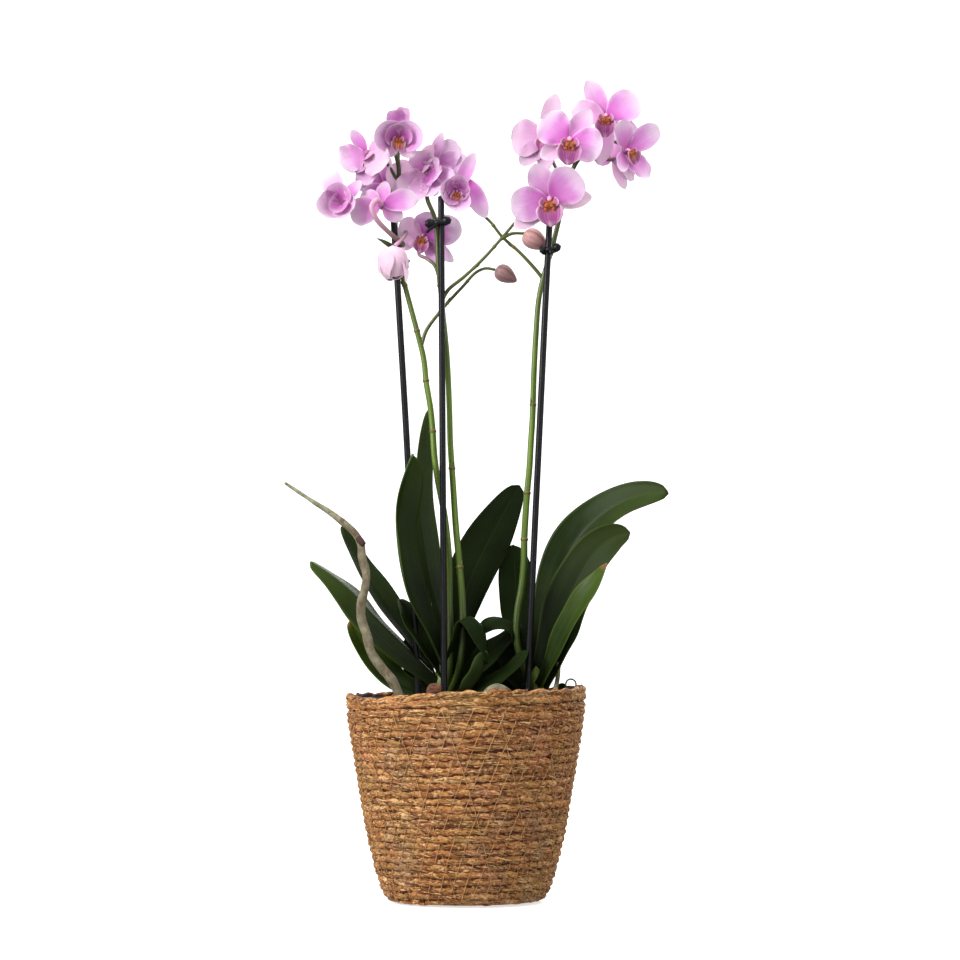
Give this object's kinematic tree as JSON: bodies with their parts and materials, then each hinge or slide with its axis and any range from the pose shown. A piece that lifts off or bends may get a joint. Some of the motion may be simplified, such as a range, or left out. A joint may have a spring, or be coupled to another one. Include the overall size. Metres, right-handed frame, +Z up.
{
  "type": "moth orchid in basket",
  "caption": "Moth orchid with pink flowers on tied upright spikes, strap leaves and a dry aerial root, potted in bark inside a lined grass-rope basket.",
  "frame": {"origin": "centre of the basket's underside, on the surface that it stands on", "axes": "+Z up, the longest way of the plant; -Y toward the viewer of the picture; +X to the right of the picture"},
  "size_m": [0.2318, 0.1466, 0.4956],
  "materials": {
    "seagrass": "uneven straw-brown sewn grass rope, dull",
    "sewing_thread": "thin dark thread",
    "liner_film": "thin grey film, semi-matte",
    "clear_pot": "clear thin moulded plastic",
    "bark": "rough brown bark",
    "plant_stem": "short green stem, satin",
    "leaf": "dark green, waxy and glossy",
    "young_leaf": "bright green, waxy",
    "flower_stem": "olive green stem with brown joints",
    "petal": "mauve pink petals with pale edges, soft sheen",
    "bud": "dusty mauve-brown bud",
    "aerial_root": "silver-beige dry root",
    "black_stick": "satin black"
  },
  "bodies": {
    "root": {"basket": "seagrass", "rim_rope": "seagrass", "rim_loop": "sewing_thread", "basket_liner": "liner_film", "nursery_pot": "clear_pot", "support_stick_left": "black_stick", "support_stick_middle": "black_stick", "support_stick_right": "black_stick", "plant_stem_left": "plant_stem", "plant_stem_right": "plant_stem", "flower_spike_left": "flower_stem", "flower_spike_middle": "flower_stem", "flower_spike_right": "flower_stem", "stem_clip_left": "black_stick", "stem_clip_middle": "black_stick", "stem_clip_right": "black_stick", "aerial_root_long": "aerial_root", "aerial_root_arch": "aerial_root", "aerial_root_stub": "aerial_root", "leaf_01": "leaf", "leaf_02": "leaf", "leaf_03": "leaf", "leaf_04": "leaf", "leaf_05": "leaf", "leaf_06": "leaf", "leaf_07": "leaf", "leaf_08": "leaf", "leaf_09": "young_leaf", "leaf_10": "leaf", "leaf_11": "leaf", "leaf_12": "leaf", "leaf_13": "leaf", "leaf_14": "leaf", "leaf_15": "leaf", "leaf_16": "leaf", "leaf_17": "leaf", "leaf_18": "leaf", "flower_right_low": "petal", "flower_right_front": "petal", "flower_right_top": "petal", "flower_right_outer": "petal", "flower_right_back": "petal", "flower_right_rear": "petal", "flower_left_top": "petal", "flower_left_upper": "petal", "flower_left_outer": "petal", "flower_left_front": "petal", "flower_left_low": "petal", "flower_left_back": "petal", "flower_middle_low": "petal", "flower_middle_top": "petal", "flower_middle_side": "petal", "bud_upper": "bud", "bud_lower": "bud", "bark_chip_1": "bark", "bark_chip_2": "bark", "bark_chip_3": "bark", "bark_chip_4": "bark", "bark_chip_5": "bark", "bark_substrate": "bark"}
  },
  "joints": []
}
